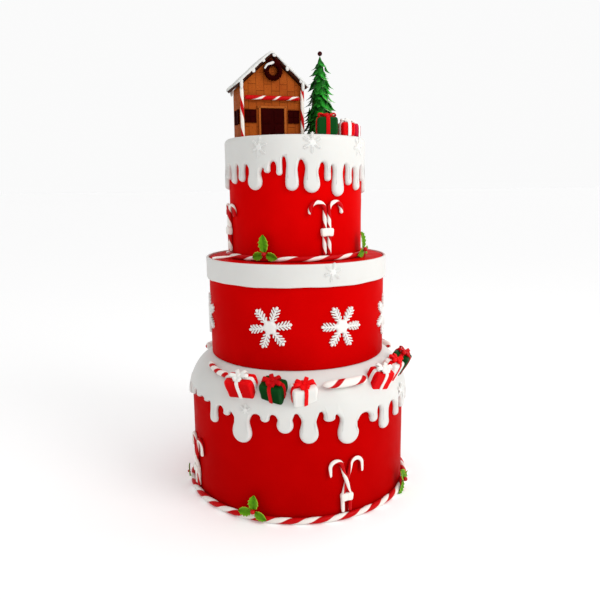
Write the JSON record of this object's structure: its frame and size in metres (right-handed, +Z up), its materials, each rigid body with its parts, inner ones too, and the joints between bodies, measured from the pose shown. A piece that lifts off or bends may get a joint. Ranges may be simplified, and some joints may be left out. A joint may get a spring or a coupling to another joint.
{
  "type": "tiered christmas cake",
  "caption": "Round tiered Christmas cake, red with white drip icing, candy canes, holly, snowflakes, small gifts, a gingerbread house and a fir tree.",
  "frame": {"origin": "centre of the round underside, on the surface the cake stands on", "axes": "+Z up, -Y towards the front of the cake, where the house's door faces, +X to the right seen from the front"},
  "size_m": [0.2701, 0.2739, 0.4983],
  "materials": {
    "white_icing": "satin",
    "red_white_twist": "satin",
    "green_paste": "satin",
    "pink_paste": "satin",
    "red_paste": "satin",
    "white_paste": "satin",
    "holly_green": "satin",
    "dark_biscuit": "matte",
    "gingerbread": "matte",
    "red_icing": "satin",
    "tree_green": "matte"
  },
  "bodies": {
    "root": {"band_middle": "white_icing", "canes_bottom_1": "red_white_twist", "canes_bottom_2": "red_white_twist", "canes_bottom_3": "red_white_twist", "canes_bottom_4": "red_white_twist", "canes_top_1": "red_white_twist", "canes_top_2": "red_white_twist", "canes_top_3": "red_white_twist", "canes_top_4": "red_white_twist", "gift_deck_green": "green_paste", "gift_deck_pink": "pink_paste", "gift_deck_red": "red_paste", "gift_ledge_green": "green_paste", "gift_ledge_green_side": "green_paste", "gift_ledge_red_tilted": "red_paste", "gift_ledge_red_wide": "red_paste", "gift_ledge_white": "white_paste", "gift_ledge_white_side": "white_paste", "holly_bottom_1": "holly_green", "holly_bottom_2": "holly_green", "holly_bottom_3": "holly_green", "holly_bottom_4": "holly_green", "holly_top_1": "holly_green", "holly_top_2": "holly_green", "holly_top_3": "holly_green", "holly_top_4": "holly_green", "house_door": "dark_biscuit", "house_post_left": "red_white_twist", "house_post_right": "red_white_twist", "house_rail": "red_white_twist", "house_roof": "dark_biscuit", "house_snow": "white_icing", "house_walls": "gingerbread", "house_window_left": "dark_biscuit", "house_window_right": "dark_biscuit", "house_window_side": "dark_biscuit", "house_wreath": "dark_biscuit", "icing_bottom": "white_icing", "icing_top": "white_icing", "rope_base": "red_white_twist", "rope_ledge_back": "red_white_twist", "rope_ledge_front": "red_white_twist", "rope_ledge_left": "red_white_twist", "rope_top": "red_white_twist", "snowflake_1": "white_icing", "snowflake_2": "white_icing", "snowflake_3": "white_icing", "snowflake_4": "white_icing", "snowflake_5": "white_icing", "snowflake_6": "white_icing", "snowflake_7": "white_icing", "tier_bottom": "red_icing", "tier_middle": "red_icing", "tier_top": "red_icing", "tree": "tree_green", "tree_ball": "dark_biscuit"}
  },
  "joints": []
}
